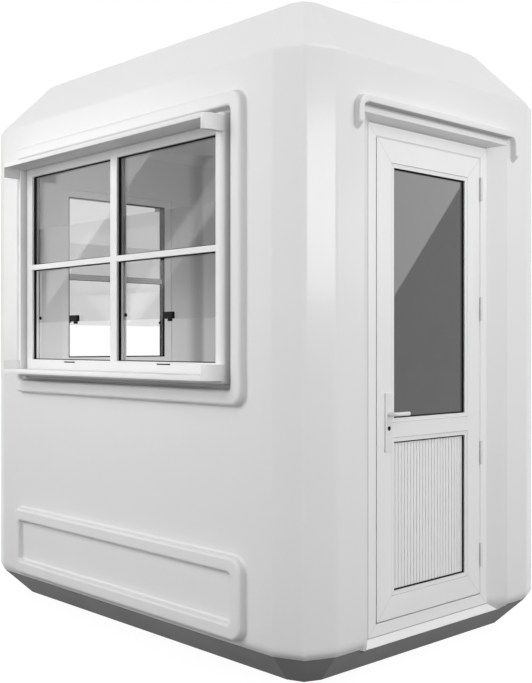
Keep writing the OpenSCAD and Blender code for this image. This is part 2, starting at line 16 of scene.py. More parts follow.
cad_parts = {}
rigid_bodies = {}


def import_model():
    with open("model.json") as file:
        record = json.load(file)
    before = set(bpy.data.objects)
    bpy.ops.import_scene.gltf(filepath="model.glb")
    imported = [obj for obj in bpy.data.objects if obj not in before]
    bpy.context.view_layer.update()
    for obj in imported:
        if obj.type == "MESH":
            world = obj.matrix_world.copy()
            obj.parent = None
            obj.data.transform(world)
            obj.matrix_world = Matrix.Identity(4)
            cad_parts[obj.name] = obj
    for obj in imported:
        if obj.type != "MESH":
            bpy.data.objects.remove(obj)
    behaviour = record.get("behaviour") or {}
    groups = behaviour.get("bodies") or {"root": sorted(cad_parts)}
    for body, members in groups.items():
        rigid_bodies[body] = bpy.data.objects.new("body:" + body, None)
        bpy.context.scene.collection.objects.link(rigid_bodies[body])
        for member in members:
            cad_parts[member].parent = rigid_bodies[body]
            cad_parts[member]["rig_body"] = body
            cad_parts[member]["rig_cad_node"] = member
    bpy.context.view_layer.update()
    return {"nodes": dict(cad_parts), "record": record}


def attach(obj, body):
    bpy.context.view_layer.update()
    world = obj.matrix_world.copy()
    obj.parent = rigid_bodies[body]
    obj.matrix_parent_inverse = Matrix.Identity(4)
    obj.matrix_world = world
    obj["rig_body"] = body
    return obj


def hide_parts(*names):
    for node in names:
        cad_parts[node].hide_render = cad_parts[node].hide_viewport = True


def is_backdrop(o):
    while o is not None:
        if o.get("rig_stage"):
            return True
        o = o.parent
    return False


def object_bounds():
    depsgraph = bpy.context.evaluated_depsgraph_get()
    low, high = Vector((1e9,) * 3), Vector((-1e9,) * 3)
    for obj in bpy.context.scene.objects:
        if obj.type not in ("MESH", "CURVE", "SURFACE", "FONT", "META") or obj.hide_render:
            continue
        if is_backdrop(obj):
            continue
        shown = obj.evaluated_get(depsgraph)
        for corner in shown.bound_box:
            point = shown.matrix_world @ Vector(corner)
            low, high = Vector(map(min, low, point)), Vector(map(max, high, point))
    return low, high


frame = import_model()
nodes = frame["nodes"]
print("pieces in the model:", len(nodes))

# %% [markdown]
# ## Sizes
#
# The sizes below are the same as in the engineering model, in millimetres. Blender works in
# metres, so a mesh is scaled once, when it is made. A wall is drawn lying in its own frame, with
# its outer face at y = 0 and the room at +y, and is then turned onto its side of the booth.

# %% Shared sizes in millimetres
MM = 0.001
HALF_W, HALF_D = 750.0, 1090.0  # from the middle to the outer face of the side and end walls
WALL_Z0, WALL_Z1, WALL_T = 125.0, 2218.0, 50.0
CORNER_R = 158.0  # how far the cut of a corner reaches along each wall
SMALLEST_R = 62.0  # the least that this shrinks to
CORNER_LAP = 12.0  # how far a corner moulding runs on along the flat wall
END_ROOM = 9.0  # the least straight length beside the cut
FACET_R, SIDE_R = 26.0, 40.0  # rounds between the two flats, and between a flat and the wall
FLAT_K = 1 - math.cos(math.radians(45))
LOW_R = 40.0  # radius of the curl at the foot of the walls
FOOT_Z = 116.5  # where that curl meets the base
BASE_RUN = 0.9  # how far the base runs in per millimetre below that
FOOT_FACET_R = 4.0  # the round between the two flats is sharper there
LOW_Z = WALL_Z0 + LOW_R * math.tan(math.radians(22.5))
EDGE_R = 26.0  # radius of the edge between wall and roof
ROOF_RISE, ROOF_INSET = 218.0, 192.0
WALL_TOP = WALL_Z1 - EDGE_R * math.tan(math.atan(ROOF_INSET / ROOF_RISE) / 2) - 1
print("booth", 2 * HALF_W, "by", 2 * HALF_D, "mm, walls up to", WALL_Z1)


def on_side(side, p):
    """Turns points of a wall's own frame onto the booth. Each side is a quarter turn: the left
    wall sends (x, y) to (y - W, -x), the right one to (W - y, x), the back one to (-x, D - y)."""
    x, y, z = p[..., 0], p[..., 1], p[..., 2]
    return {
        "front": lambda: np.stack([x, y - HALF_D, z], -1),
        "left": lambda: np.stack([y - HALF_W, -x, z], -1),
        "right": lambda: np.stack([HALF_W - y, x, z], -1),
        "back": lambda: np.stack([-x, HALF_D - y, z], -1),
    }[side]()


# %% [markdown]
# ## Mesh helpers
#
# Most pieces are a profile carried along a path, or a panel with a window in it. Both are grids
# of points worked out with whole arrays. A corner of a profile gets a round of a given radius,
# with one extra point on each flat beside it, so that the flat keeps its own shading.


# %% Rounded profiles
FLAT_STEP = 0.7  # distance of the extra point on the flat beside each arc


def rounded(points, radii, steps, closed=False):
    """A polyline with its corners replaced by arcs. At a corner with turn angle a, the arc of
    radius r starts r tan(a / 2) before the corner and ends as far after it."""
    points = np.asarray(points, float)
    n = len(points)
    out = []
    for i in range(n):
        p, r = points[i], radii[i]
        if r <= 0 or (not closed and i in (0, n - 1)):
            out.append(p[None])
            continue
        d1 = p - points[i - 1]
        d2 = points[(i + 1) % n] - p
        d1, d2 = d1 / np.linalg.norm(d1), d2 / np.linalg.norm(d2)
        turn = math.acos(np.clip(d1 @ d2, -1, 1))
        side = np.sign(d1[0] * d2[1] - d1[1] * d2[0])
        t = r * math.tan(turn / 2)
        centre = p - t * d1 + side * r * np.array([-d1[1], d1[0]])
        a = np.linspace(0, turn, steps + 1) * side
        v = p - t * d1 - centre
        c, s = np.cos(a), np.sin(a)
        arc = centre + np.stack([v[0] * c - v[1] * s, v[0] * s + v[1] * c], -1)
        out.append(np.concatenate([[arc[0] - FLAT_STEP * d1], arc, [arc[-1] + FLAT_STEP * d2]]))
    return np.concatenate(out)


# %% Grids of points to faces
def loft(rows, ring=False):
    """Faces of a grid: closed rows of points are joined by quads. ring joins the last row to the
    first one. Otherwise both ends get a flat cap."""
    rows = np.asarray(rows, float)
    r, c = rows.shape[:2]
    i = np.arange(r if ring else r - 1)[:, None]
    j = np.arange(c)[None]
    i2, j2 = (i + 1) % r, (j + 1) % c
    quads = np.stack([i * c + j, i * c + j2, i2 * c + j2, i2 * c + j], -1).reshape(-1, 4).tolist()
    if not ring:
        quads += [list(range(c))[::-1], list(range((r - 1) * c, r * c))]
    return rows.reshape(-1, 3), quads


def outward(verts, faces):
    """Turns every face over if the signed volume is negative. The volume is the sum of
    a . (b x c) / 6 over a fan of triangles (a, b, c) in each face."""
    fan = np.array([(f[0], f[k], f[k + 1]) for f in faces for k in range(1, len(f) - 1)])
    a, b, c = verts[fan].transpose(1, 0, 2)
    volume = np.sum(a * np.cross(b, c)) / 6
    return faces if volume > 0 else [f[::-1] for f in faces]


SMOOTH_ANGLE = math.radians(32)  # edges that turn more than this stay sharp


def piece(name, body, parts, replaces=()):
    """Joins (points in mm, faces) parts into one object in metres that rides on a body."""
    verts, faces, start = [], [], 0
    for v, f in parts:
        f = outward(v, f)
        verts.append(v)
        faces += [[k + start for k in face] for face in f]
        start += len(v)
    mesh = bpy.data.meshes.new(name)
    mesh.from_pydata((np.concatenate(verts) * MM).tolist(), [], faces)
    mesh.validate()
    mesh.shade_smooth()
    mesh.set_sharp_from_angle(angle=SMOOTH_ANGLE)
    obj = bpy.data.objects.new(name, mesh)
    bpy.context.scene.collection.objects.link(obj)
    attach(obj, body)
    if replaces:
        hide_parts(*replaces)
    print(name, len(mesh.polygons), "faces")
    return obj


# %% A wall panel with a rectangular hole
def panel(us, zs, hole, front, back):
    """A slab on a grid of us by zs. Its outer face is front(z), its inner face is back. Cells in
    the hole are left out, and each edge between a cell and no cell gets a side face."""
    us, zs = np.asarray(us, float), np.asarray(zs, float)
    nu, nz = len(us), len(zs)
    gu, gz = np.meshgrid(us, zs, indexing="ij")
    outer = np.stack([gu, front(gz), gz], -1).reshape(-1, 3)
    inner = np.stack([gu, np.full_like(gu, back), gz], -1).reshape(-1, 3)
    verts = np.concatenate([outer, inner])
    mid_u, mid_z = (us[1:] + us[:-1]) / 2, (zs[1:] + zs[:-1]) / 2
    u0, u1, z0, z1 = hole
    full = ~((mid_u[:, None] > u0) & (mid_u[:, None] < u1) & (mid_z > z0) & (mid_z < z1))
    i, j = np.nonzero(full)
    at = lambda a, b: a * nz + b
    quad = np.stack([at(i, j), at(i + 1, j), at(i + 1, j + 1), at(i, j + 1)], -1)
    n = nu * nz
    faces = [quad, quad[:, ::-1] + n]
    wide = np.pad(full, 1)
    for axis in (0, 1):
        change = np.diff(wide.astype(int), axis=axis)
        change = change[:, 1:-1] if axis == 0 else change[1:-1]
        a, b = np.nonzero(change)
        step = change[a, b]
        p = at(a, b)
        q = at(a, b + 1) if axis == 0 else at(a + 1, b)
        side = np.stack([p, q, q + n, p + n], -1)
        turn = (step > 0) if axis == 0 else (step < 0)
        side[turn] = side[turn][:, ::-1]
        faces.append(side)
    return verts, np.concatenate(faces).tolist()


# %% [markdown]
# ## The curl at the foot of the walls
#
# The shell is one moulding, so its lower edge is not cut off square. It curls under with a
# radius of about 40 mm until it points down the slope of the base. The same curve serves the
# walls and the corners, so that they meet without a step.


# %% Outer face of the shell
def foot_inset(z):
    """How far the outer face runs in at height z: the arc r - sqrt(r^2 - dz^2) below LOW_Z."""
    dz = np.clip(LOW_Z - np.asarray(z, float), 0, None)
    return LOW_R - np.sqrt(LOW_R**2 - dz**2)


foot_levels = np.linspace(FOOT_Z, LOW_Z, 9)
wall_levels = np.concatenate([foot_levels, [LOW_Z + 1, WALL_TOP]])
print("the foot runs in by", round(float(foot_inset(FOOT_Z)), 1), "mm")


def corner_outline(inset, shrink, middle=FACET_R):
    """One cut corner, from the left wall to the front wall, with its two flats. Its size r
    shrinks in step with the inset, down to 62 mm, so that the rounds always find room."""
    r = max(CORNER_R - shrink * inset, SMALLEST_R)
    end = max(CORNER_R + CORNER_LAP, inset + r + END_ROOM)
    flat = inset + FLAT_K * r
    bends = [[inset, inset + r], [flat, flat], [inset + r, inset]]
    return rounded([[inset, end], *bends, [end, inset]], [0, SIDE_R, middle, SIDE_R, 0], 6)


# %% [markdown]
# ## Corners
#
# Each corner of the cabin is cut by two upright flats. In section that is a polyline with three
# soft bends. The section is stacked from the foot to the top, and closed by the flats of the
# inner face, which makes a solid moulding.

# %% Four corner mouldings
FOOT_SHRINK = 0.576  # shrink of a corner's size per millimetre that the foot runs in
SIGNS = {"front_left": (-1, -1), "front_right": (1, -1), "back_left": (-1, 1), "back_right": (1, 1)}
inner_flat = WALL_T + FLAT_K * (CORNER_R - WALL_T)
inner_half = [[CORNER_R + CORNER_LAP, WALL_T], [CORNER_R, WALL_T]]
inner_corner = np.array([*inner_half, [inner_flat] * 2, *[p[::-1] for p in inner_half[::-1]]])
corner_rows = []
for z in wall_levels:
    middle = np.interp(z, [FOOT_Z, LOW_Z], [FOOT_FACET_R, FACET_R])
    outer_corner = corner_outline(float(foot_inset(z)), FOOT_SHRINK, middle)
    section = np.concatenate([outer_corner, inner_corner])
    corner_rows.append(np.column_stack([section, np.full(len(section), z)]))
corner_rows = np.array(corner_rows)
shell_pieces = []
for name, (sx, sy) in SIGNS.items():
    rows = corner_rows.copy()
    rows[..., 0] = sx * (HALF_W - corner_rows[..., 0])
    rows[..., 1] = sy * (HALF_D - corner_rows[..., 1])
    parts = [loft(rows)]
    moulding = piece(f"{name}_corner_moulding", "booth", parts, [f"{name}_corner"])
    shell_pieces.append(moulding)

# %% [markdown]
# ## Bead rings
#
# The raised rings round the window and the panel below it stiffen the thin wall. They are drawn
# as a stack of rounded rectangles: each one has its own size, corner radius and height, from
# the outer foot up over the flat face and down to the inner foot.


# %% Rounded rectangles stacked to a bead
BEAD_W, BEAD_SLOPE, BEAD_H = 80.0, 24.0, 30.0
RING_STEPS = 10  # steps in each corner


def rectangle_ring(half_u, half_z, radius):
    """Points round a rectangle whose corners are quarter circles of the given radius."""
    a = np.linspace(0, math.pi / 2, RING_STEPS + 1)
    quarter = np.stack([np.cos(a), np.sin(a)], -1) * radius
    out = []
    for k, (su, sz) in enumerate([(1, 1), (-1, 1), (-1, -1), (1, -1)]):
        c, s = math.cos(k * math.pi / 2), math.sin(k * math.pi / 2)
        turned = quarter @ np.array([[c, s], [-s, c]])
        centre = np.array([su * (half_u - radius), sz * (half_z - radius)])
        arc = turned + centre
        d_in = np.array([[-s, c]]) * -FLAT_STEP
        d_out = np.array([[-c, -s]]) * FLAT_STEP
        out.append(np.concatenate([arc[:1] + d_in, arc, arc[-1:] + d_out]))
    return np.concatenate(out)


# the profile as (distance inside the outer foot, height): its skirt lies a little below the wall
half_profile = [[-8, -4], [-8, -1.2], [9.5, -0.3], [14.5, BEAD_H]]
other_half = [[BEAD_W - u, h] for u, h in half_profile[::-1]]
bead_profile = rounded(half_profile + other_half, [0, 0, 11, 12, 12, 11, 0, 0], 8)
# the corner radius at some of these distances
RADIUS_AT = [-8, 0, BEAD_SLOPE, BEAD_W - BEAD_SLOPE, BEAD_W, BEAD_W + 8]
RADII = [72, 66, 44, 26, 12, 6]


def bead(width, z0, height):
    """A bead ring on a wall: ring k lies bead_profile[k, 0] inside the outer foot and stands
    bead_profile[k, 1] proud. The corner radius runs from 66 mm outside to 12 mm inside."""
    rows = []
    for inset, up in bead_profile:
        radius = np.interp(inset, RADIUS_AT, RADII)
        u, z = rectangle_ring(width / 2 - inset, height / 2 - inset, radius).T
        rows.append(np.column_stack([u, np.full(len(u), -up), z + z0 + height / 2]))
    return loft(rows, ring=True)


print("points round a bead ring:", len(rectangle_ring(BEAD_W, BEAD_W, BEAD_SLOPE)))


# %% [markdown]
# ## Walls with windows
#
# Three walls have the same window in different widths. Each wall is a panel with its opening,
# and two bead rings laid on it with soft fillets. The rings dip a little below the face, so no
# gap can show.

# %% Left, right and back walls
WIN_Z0, WIN_H = 1084.0, 913.0
OPENING = {"left": 1382.0, "right": 1382.0, "back": 713.0}
PANEL_Z0, PANEL_H = 128.0, 320.0  # the ring round the lower panel
POST_W, BEAD_GAP = 33.0, 6.0  # post of the window surround, and the gap from it to the bead
AROUND = POST_W + BEAD_GAP + BEAD_W


def window_wall(side, half_length):
    """One wall: the panel, then the ring round the window and the ring round the lower panel."""
    half = OPENING[side] / 2
    us = [-half_length + CORNER_LAP, -half, half, half_length - CORNER_LAP]
    zs = np.concatenate([wall_levels[:-1], [WIN_Z0, WIN_Z0 + WIN_H], wall_levels[-1:]])
    slab = panel(us, zs, (-half, half, WIN_Z0, WIN_Z0 + WIN_H), foot_inset, WALL_T)
    width = OPENING[side] + 2 * AROUND
    window_bead = bead(width, WIN_Z0 - AROUND, WIN_H + 2 * AROUND)
    parts = [slab, window_bead, bead(width, PANEL_Z0, PANEL_H)]
    parts = [(on_side(side, v), f) for v, f in parts]
    return piece(f"{side}_wall_moulding", "booth", parts, [f"{side}_wall"])


shell_pieces += [
    window_wall("left", HALF_D - CORNER_R),
    window_wall("right", HALF_D - CORNER_R),
    window_wall("back", HALF_W - CORNER_R),
]

# %% [markdown]
# ## The front wall and its doorway
#
# The doorway is a picture frame turned inside out: a splayed reveal that runs in to the door
# frame. Its section is carried up one side, across the top and down the other, with a mitre at
# each corner, and the flat wall is a panel round it.

# %% Front wall
DOOR_HALF, DOOR_TOP = 374.0, 2006.0
REVEAL_SIDE, REVEAL_TOP, REVEAL_D = 74.0, 16.0, 50.0
THRESHOLD_D = 24.0  # depth at which the threshold starts
RETURN_D, RETURN_T = 120.0, 34.0  # the lining beside the door frame: its depth and thickness
LIP = 8.0  # width of the reveal's flat edge in the face of the front wall
SINK, UNDER = 8.0, 2.0  # how far it dips below the slope of the base and below the threshold


def reveal_section(run):
    """The reveal in section as (distance from the door frame, depth), with a soft outer edge."""
    middle = [run * (1 - THRESHOLD_D / REVEAL_D), THRESHOLD_D]
    splay = [[run + LIP, 0], [run, 0], middle, [0, REVEAL_D]]
    lining = [[0, RETURN_D], [RETURN_T, RETURN_D], [RETURN_T, WALL_T], [run + LIP, WALL_T]]
    return rounded(splay + lining, [0, 7, 0, 0, 2, 2, 0, 0], 5)


def reveal_foot(depth):
    """Height of the reveal's lower edge. It runs down under the slope of the base, then up
    under the threshold, so that neither leaves a gap."""
    down = np.minimum(FOOT_Z, WALL_Z0 - UNDER - depth) - SINK
    up = np.minimum(WALL_Z0, WALL_Z0 - REVEAL_D + depth - UNDER)
    return np.where(depth < THRESHOLD_D, down, up)


side_run, top_run = reveal_section(REVEAL_SIDE), reveal_section(REVEAL_TOP)
reveal_rows = []
for sx in (-1, 1):
    x, depth = sx * (DOOR_HALF + side_run[:, 0]), side_run[:, 1]
    low_z = reveal_foot(depth)
    jamb = []
    for t in np.linspace(0, 1, 9):
        z = low_z + t * (LOW_Z - low_z)
        inset = foot_inset(np.maximum(z, FOOT_Z)) + BASE_RUN * np.clip(FOOT_Z - z, 0, None)
        jamb.append(np.column_stack([x, np.maximum(depth, inset), z]))
    jamb.append(np.column_stack([x, depth, DOOR_TOP + top_run[:, 0]]))
    reveal_rows += jamb if sx < 0 else jamb[::-1]
reveal = loft(reveal_rows)
half, reach = DOOR_HALF + REVEAL_SIDE + LIP, HALF_W - CORNER_R - CORNER_LAP
door_head = DOOR_TOP + REVEAL_TOP + LIP
us = [-reach, -half, half, reach]
zs = np.concatenate([wall_levels[:-1], [door_head], wall_levels[-1:]])
front_slab = panel(us, zs, (-half, half, 0, door_head), foot_inset, WALL_T)
front_parts = [(on_side("front", v), f) for v, f in (front_slab, reveal)]
front_nodes = [f"front_wall_{part}" for part in ("left", "right", "head")]
shell_pieces.append(piece("front_wall_moulding", "booth", front_parts, front_nodes))

# %% [markdown]
# ## Threshold
#
# A white strip slopes down from the door frame over the edge of the base. Its ends follow the
# splay of the reveal, so that no dark base shows beside it.

# %% Threshold strip
THRESHOLD_Z = 99.0
wedge = [[THRESHOLD_D, THRESHOLD_Z], [REVEAL_D, THRESHOLD_Z], [REVEAL_D, WALL_Z0]]
depth, height = rounded(wedge, [1.5, 0, 0], 3, closed=True).T
end = DOOR_HALF + REVEAL_SIDE * (REVEAL_D - depth) / REVEAL_D
verts, faces = loft([np.column_stack([sx * end, depth, height]) for sx in (-1, 1)])
parts = [(on_side("front", verts), faces)]
threshold = piece("threshold_strip", "booth", parts, ["door_threshold"])

# %% [markdown]
# ## Roof
#
# The roof is a shallow tray turned over. Its outline has the same cut corners as the walls and
# shrinks up the bevel. A soft edge of 26 mm leads from the wall into the bevel, and two smaller
# ones lead over the crest onto the flat top.


# %% Roof shell
ROOF_SHRINK = 0.4444  # shrink of a corner's size per millimetre that the roof runs in
ROOF_TOP, CREST_INSET, CAP_INSET = 2452.0, 216.0, 330.0
TRAY_Z = 2407.0  # height of the tray's inner face


def roof_outline(inset, z):
    """The whole outline at one height: four cut corners, mirrored round the plan."""
    c = corner_outline(inset, ROOF_SHRINK)
    front_left = np.column_stack([c[:, 0] - HALF_W, c[:, 1] - HALF_D])
    front_right = front_left[::-1] * [-1, 1]
    back_right = front_left * [-1, -1]
    back_left = front_left[::-1] * [1, -1]
    ring = np.concatenate([front_left, front_right, back_right, back_left])
    return np.column_stack([ring, np.full(len(ring), z)])


bevel_profile = [[0, WALL_TOP], [0, WALL_Z1], [ROOF_INSET, WALL_Z1 + ROOF_RISE]]
flat_profile = [[CREST_INSET, ROOF_TOP], [CAP_INSET, ROOF_TOP]]
roof_profile = rounded(bevel_profile + flat_profile, [0, EDGE_R, 10, 14, 0], 7)
tray_profile = [[CREST_INSET, TRAY_Z], [WALL_T, WALL_Z1], [WALL_T, WALL_TOP]]
roof_rows = [roof_outline(d, z) for d, z in np.concatenate([tray_profile, roof_profile])]
shell_pieces.append(piece("roof_moulding", "booth", [loft(roof_rows)], ["roof"]))

# %% [markdown]
# ## Rain bead over the door
#
# A rib turned down at both ends throws rain to the sides of the doorway. Its section follows a
# path of straight runs and quarter circles. Each end is round in front view and slopes down to
# the wall, so the face stops a little higher than the foot.

# %% Rain bead
RAIN_X, RAIN_Z, RAIN_DROP, RAIN_R = 487.0, 2063.0, 93.0, 37.0
RAIN_H, RAIN_FACE, RAIN_FOOT = 25.0, 13.0, 17.0
RAIN_SUNK = 4.0  # how far its foot lies inside the wall
rain_half = [[-RAIN_FOOT, RAIN_SUNK], [-RAIN_FOOT, 0], [-RAIN_FACE, -RAIN_H]]
rain_profile = rain_half + [[-u, d] for u, d in rain_half[::-1]]
sideways, depth = rounded(rain_profile, [0, 0, 6, 6, 0, 0], 5).T
left_leg = [[-RAIN_X, RAIN_Z - RAIN_DROP], [-RAIN_X, RAIN_Z]]
right_leg = [[-u, z] for u, z in left_leg[::-1]]
path = rounded(left_leg + right_leg, [0, RAIN_R, RAIN_R, 0], 12)[1:-1]
along = np.gradient(path, axis=0)
along /= np.linalg.norm(along, axis=1)[:, None]
run_x = path[:, :1] - along[:, 1:] * sideways
run_z = path[:, 1:] + along[:, :1] * sideways
# each end: the profile shrinks sideways as cos(a) while it drops by its half width times sin(a),
# and the face stops one foot half-width higher than the foot
turn = np.linspace(math.radians(88), 0, 9)[:, None]
rise = RAIN_FOOT * np.clip(-depth, 0, RAIN_H) / RAIN_H
end_x = sideways * np.cos(turn)
end_z = RAIN_Z - RAIN_DROP + rise - np.abs(sideways) * np.sin(turn)
grid_x = np.concatenate([-RAIN_X - end_x, run_x, RAIN_X + end_x[::-1]])
grid_z = np.concatenate([end_z, run_z, end_z[::-1]])
verts, faces = loft(np.stack([grid_x, np.broadcast_to(depth, grid_x.shape), grid_z], -1))
parts = [(on_side("front", verts), faces)]
shell_pieces.append(piece("rain_bead_moulding", "booth", parts, ["door_rain_bead"]))

# %% [markdown]
# ## Frames and fittings with fine edges
#
# Extruded plastic profiles and cast fittings never have knife edges: a bevel of a millimetre or
# two catches the light. A copy of each model piece is welded, its flat faces are joined, and a
# Bevel modifier rounds only the edges that turn sharply. The copy stands for the original.


# %% Bevelled copies of model pieces
WELD = 2e-5  # metres between points that become one
FLAT_ANGLE, SHARP_ANGLE = math.radians(0.5), math.radians(35)
ROUND_OVER = 15.0


def softened(node, body, width, round_over=None, reshape=None):
    """A welded copy of a model piece with its sharp edges bevelled by width millimetres. The
    edges that round_over picks are first rounded by 15 mm, and reshape may move its points."""
    obj = nodes[node].copy()
    obj.data = nodes[node].data.copy()
    if reshape:
        co = np.empty(len(obj.data.vertices) * 3, np.float32)
        obj.data.vertices.foreach_get("co", co)
        co = reshape(co.reshape(-1, 3)).astype(np.float32)
        obj.data.vertices.foreach_set("co", co.ravel())
    obj.name = f"{node}_soft"
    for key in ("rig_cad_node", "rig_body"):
        if key in obj:
            del obj[key]
    obj.parent = None
    bpy.context.scene.collection.objects.link(obj)
    bm = bmesh.new()
    bm.from_mesh(obj.data)
    bmesh.ops.remove_doubles(bm, verts=bm.verts, dist=WELD)
    bmesh.ops.dissolve_limit(bm, angle_limit=FLAT_ANGLE, verts=bm.verts, edges=bm.edges)
    if round_over:
        picked = [e for e in bm.edges if all(round_over(v.co) for v in e.verts)]
        radius = ROUND_OVER * MM
        bmesh.ops.bevel(bm, geom=picked, offset=radius, segments=5, profile=0.5, affect="EDGES")
        print(node, "rounded edges:", len(picked))
    bm.to_mesh(obj.data)
    bm.free()
    obj.data.shade_smooth()
    obj.data.set_sharp_from_angle(angle=SHARP_ANGLE)
    bevel = obj.modifiers.new("edges", "BEVEL")
    bevel.width = width * MM
    bevel.segments = 2
    bevel.limit_method = "ANGLE"
    bevel.angle_limit = SHARP_ANGLE
    bevel.harden_normals = True
    bevel.use_clamp_overlap = True
    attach(obj, body)
    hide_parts(node)
    return obj


SOFT_EDGES = [
    ("door_frame", "booth", "frame", 1.6),
    ("door_handle_plates", "door", "hardware", 1.6),
    ("door_lever", "lever", "hardware", 1.2),
    ("door_frame_hinges", "booth", "hardware", 0.4),
    ("door_leaf_hinges", "door", "hardware", 0.4),
]
for side in ("left", "right", "back"):
    SOFT_EDGES += [
        (f"{side}_window_frame", "booth", "frame", 1.4),
        (f"{side}_window_latches", "booth", "rubber", 1.2),
    ]
soft = {node: softened(node, body, width) for node, body, slot, width in SOFT_EDGES}
print("bevelled pieces:", len(soft))

# %% Wider glazing beads on the door
# The beads are 16 mm wide: their outer step moves out by 5 mm on each side, here in metres.
STEP_X, BEAD_X = 0.233, 0.238
BEAD_Z = {0.266: 0.261, 0.843: 0.848, 0.910: 0.905, 1.865: 1.870}


def wide_beads(co):
    """Points on the step and at the four old heights take the new values."""
    co = co.copy()
    at_step = np.isclose(np.abs(co[:, 0]), STEP_X, atol=1e-5)
    co[at_step, 0] = np.sign(co[at_step, 0]) * BEAD_X
    height = co[:, 2].copy()
    for old, new in BEAD_Z.items():
        co[np.isclose(height, old, atol=1e-5), 2] = new
    print("points moved:", int((co[:, 2] != height).sum() + at_step.sum()))
    return co


soft["door_leaf"] = softened("door_leaf", "door", 1.4, reshape=wide_beads)

# %% Rounded rails of the window surrounds
# The rails over the hood and under the sill are rounded like the posts between them.
RAIL_EDGES = [z * MM for z in (WIN_Z0 - POST_W, WIN_Z0 + WIN_H + POST_W)]
WALL_X, WALL_Y = HALF_W * MM, HALF_D * MM
OUTSIDE = {
    "left": lambda p: -p.x - WALL_X,
    "right": lambda p: p.x - WALL_X,
    "back": lambda p: p.y - WALL_Y,
}


def on_rail(side):
    """Picks points on the lower or upper end face of a surround, off the wall itself."""
    return lambda p: min(abs(p.z - z) for z in RAIL_EDGES) < 1e-4 and OUTSIDE[side](p) > 0.02


for side in OUTSIDE:
    node = f"{side}_window_surround"
    soft[node] = softened(node, "booth", 3.0, on_rail(side))
print("softened pieces:", len(soft))

# %% [markdown]
# ## Seal in the door frame
#
# A light strip of seal sits in the gap at the top and on the hinge side, and stops at each
# hinge. It is why the gap shows as a dark line only beside the lever. Each length is a rounded
# strip: one profile at its two ends.


# %% Lengths of seal
def strip(start, end, across, width, depth):
    """A rounded strip from start to end: width along across, depth along +y."""
    start, end, across = (np.asarray(v, float) for v in (start, end, across))
    square = [[0, 0], [width, 0], [width, depth], [0, depth]]
    profile = rounded(square, [0, 1.2, 1.2, 0], 3)
    section = profile[:, :1] * across + profile[:, 1:] * np.array([0, 1, 0])
    return loft([p + section for p in (start, end)])


LEAF_LOW, LEAF_HIGH = 177.0, 1954.0
FRAME_IN, FRAME_HEAD = 327.0, LEAF_HIGH + 5  # inner edges of the door frame
SEAL_Y, SEAL_W, SEAL_D = 53.0, 3.6, 6.0
HINGE_AT, HINGE_HALF = (0.09, 0.325, 0.655, 0.93), 50.0  # as a share of the leaf's height
hinge_z = [LEAF_LOW + share * (LEAF_HIGH - LEAF_LOW) for share in HINGE_AT]
stops = [LEAF_LOW] + [h + d for h in hinge_z for d in (-HINGE_HALF, HINGE_HALF)] + [FRAME_HEAD]
runs = [[(FRAME_IN, SEAL_Y, z) for z in pair] for pair in zip(stops[::2], stops[1::2])]
lengths = [strip(*run, (-1, 0, 0), SEAL_W, SEAL_D) for run in runs]
head_run = [(sx * FRAME_IN, SEAL_Y, FRAME_HEAD) for sx in (-1, 1)]
lengths.append(strip(*head_run, (0, 0, -1), SEAL_W, SEAL_D))
parts = [(on_side("front", v), f) for v, f in lengths]
door_seal = piece("door_frame_seal", "booth", parts)

# %% [markdown]
# ## Rubber round the panes
#
# Each pane is held by a black rubber strip that fills the corner between glass and frame. Only
# its thin edge and its inner side show. A rounded section is carried round the rectangle, with
# mitred corners. The back window has one more strip on the room side, along the sliding track.

# %% Rubber rings
CORNERS = np.array([[-1, -1], [1, -1], [1, 1], [-1, 1]])


def rubber_ring(middle, half, z0, z1, front, back, width=3.5):
    """The section point (d, y) becomes a rectangle that lies d inside the opening, at depth y."""
    square = [[0, front], [width, front], [width, back], [0, back]]
    d, depth = rounded(square, [0, 1.4, 1.4, 0], 3).T[:, :, None]
    u = middle + CORNERS[:, 0] * (half - d)
    z = (z0 + z1) / 2 + CORNERS[:, 1] * ((z1 - z0) / 2 - d)
    return loft(np.stack([u, np.broadcast_to(depth, u.shape), z], -1), ring=True)


# each window: the middles of its bays, and the openings of its frame as (low, high)
BAYS = {"left": (-334.5, 334.5), "right": (-334.5, 334.5), "back": (0.0,)}
PANE_HALF, LOWER_PANE, UPPER_PANE = 311.5, (1128.0, 1535.0), (1559.0, 1961.0)
DOOR_PANE_HALF, DOOR_PANES = 222.0, ((277.0, 832.0), (921.0, 1854.0))
# depths of the strips as (front, back), and the widths that differ from the usual one
PANE_Y, TRACK_Y, DOOR_YS = (-2, 10), (21, 37), ((57, 63), (83, 89))
TRACK_STRIP, DOOR_STRIP = 6.0, 5.0
rubbers = []
for side, middles in BAYS.items():
    rings = []
    for m in middles:
        rings += [rubber_ring(m, PANE_HALF, *pane, *PANE_Y) for pane in (LOWER_PANE, UPPER_PANE)]
        if side == "back":
            low, high = LOWER_PANE[0], UPPER_PANE[1]
            rings.append(rubber_ring(m, PANE_HALF, low, high, *TRACK_Y, TRACK_STRIP))
    parts = [(on_side(side, v), f) for v, f in rings]
    replaced = [f"{side}_window_gaskets"]
    rubbers.append(piece(f"{side}_window_rubber", "booth", parts, replaced))
door_rings = [
    rubber_ring(0, DOOR_PANE_HALF, *pane, *depths, DOOR_STRIP)
    for pane in DOOR_PANES
    for depths in DOOR_YS
]
parts = [(on_side("front", v), f) for v, f in door_rings]
rubbers.append(piece("door_rubber", "door", parts, ["door_gaskets"]))
